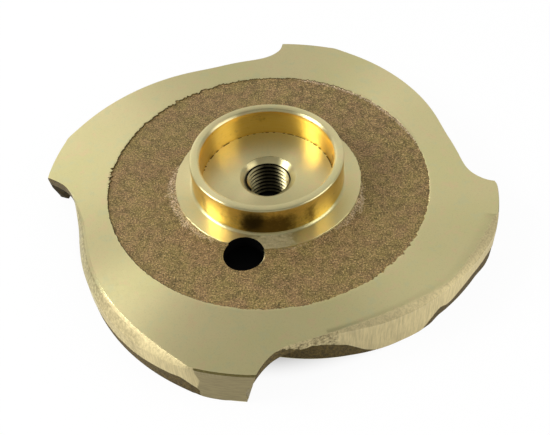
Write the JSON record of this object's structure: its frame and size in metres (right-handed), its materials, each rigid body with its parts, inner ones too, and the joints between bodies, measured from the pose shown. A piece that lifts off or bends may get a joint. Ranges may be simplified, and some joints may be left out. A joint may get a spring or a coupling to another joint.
{
  "type": "pump impeller",
  "caption": "Semi-open centrifugal pump impeller in cast bronze, with a scalloped shroud, curved vanes below and a seal cup round a threaded hub.",
  "frame": {"origin": "centre of the plane that the free vane edges lie in, on the shaft axis", "axes": "+Z along the shaft axis, from the pump's eye towards the shaft and seal; the first vane tip points along -X"},
  "size_m": [0.1142, 0.1142, 0.0195],
  "materials": {
    "bronze": "satin turned and as-cast"
  },
  "bodies": {
    "root": {"impeller": "bronze"}
  },
  "joints": []
}
